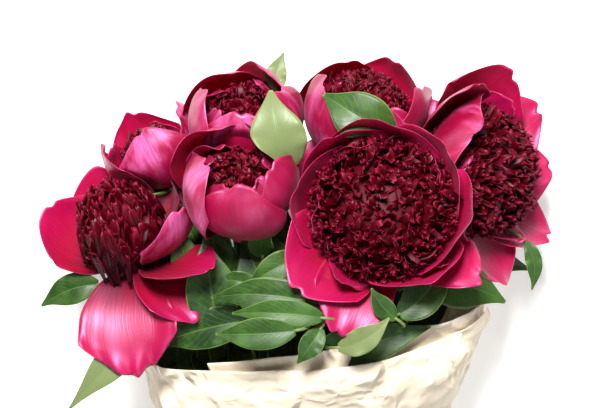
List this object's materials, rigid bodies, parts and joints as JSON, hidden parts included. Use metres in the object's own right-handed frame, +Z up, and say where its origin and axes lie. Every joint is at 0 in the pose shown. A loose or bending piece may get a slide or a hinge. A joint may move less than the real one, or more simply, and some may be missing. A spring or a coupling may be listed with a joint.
{
  "type": "bunch of peonies",
  "caption": "Cut peonies with broad guard petals round dense centres, lying on their side with leaves and stems in a rolled paper wrap tied with twine.",
  "frame": {"origin": "middle of the underside of the whole bunch's box, on the surface it lies on", "axes": "+Y along the bunch from the cut stem ends to the blooms, +Z up from the surface, +X across the bunch to the right with the blooms pointing away"},
  "size_m": [0.3708, 0.5144, 0.1902],
  "materials": {
    "petal": "soft satin with a pale sheen on the back",
    "petaloid": "matte",
    "leaf": "waxy satin",
    "stem": "satin",
    "paper": "matte, creased",
    "twine": "fibrous",
    "band": "matte"
  },
  "bodies": {
    "root": {"centre_back_left": "petaloid", "centre_back_middle": "petaloid", "centre_back_right": "petaloid", "centre_front": "petaloid", "centre_globe": "petaloid", "centre_left": "petaloid", "centre_left_back": "petaloid", "centre_right": "petaloid", "centre_top": "petaloid", "centre_top_left": "petaloid", "guard_petals_back_left": "petal", "guard_petals_back_middle": "petal", "guard_petals_back_right": "petal", "guard_petals_front": "petal", "guard_petals_globe": "petal", "guard_petals_left": "petal", "guard_petals_left_back": "petal", "guard_petals_right": "petal", "guard_petals_top": "petal", "guard_petals_top_left": "petal", "leaf_back_left": "leaf", "leaf_back_low": "leaf", "leaf_back_right": "leaf", "leaf_back_top": "leaf", "leaf_between_globes": "leaf", "leaf_bottom_left": "leaf", "leaf_front_bright": "leaf", "leaf_front_left_dark": "leaf", "leaf_front_long": "leaf", "leaf_front_low": "leaf", "leaf_front_short": "leaf", "leaf_grey_broad": "leaf", "leaf_left_gap": "leaf", "leaf_left_low": "leaf", "leaf_olive": "leaf", "leaf_right_broad": "leaf", "leaf_right_narrow": "leaf", "leaf_rim_dark": "leaf", "leaf_rim_small": "leaf", "leaf_shade_left": "leaf", "leaf_shade_low": "leaf", "leaf_shade_middle": "leaf", "leaf_small_left": "leaf", "leaf_throat": "leaf", "leaf_top_cupped": "leaf", "leaf_top_tip": "leaf", "leaf_under_globe": "leaf", "paper_wrap": "paper", "rubber_band": "band", "stem_back_left": "stem", "stem_back_middle": "stem", "stem_back_right": "stem", "stem_front": "stem", "stem_globe": "stem", "stem_left": "stem", "stem_left_back": "stem", "stem_right": "stem", "stem_top": "stem", "stem_top_left": "stem", "twine": "twine"}
  },
  "joints": []
}
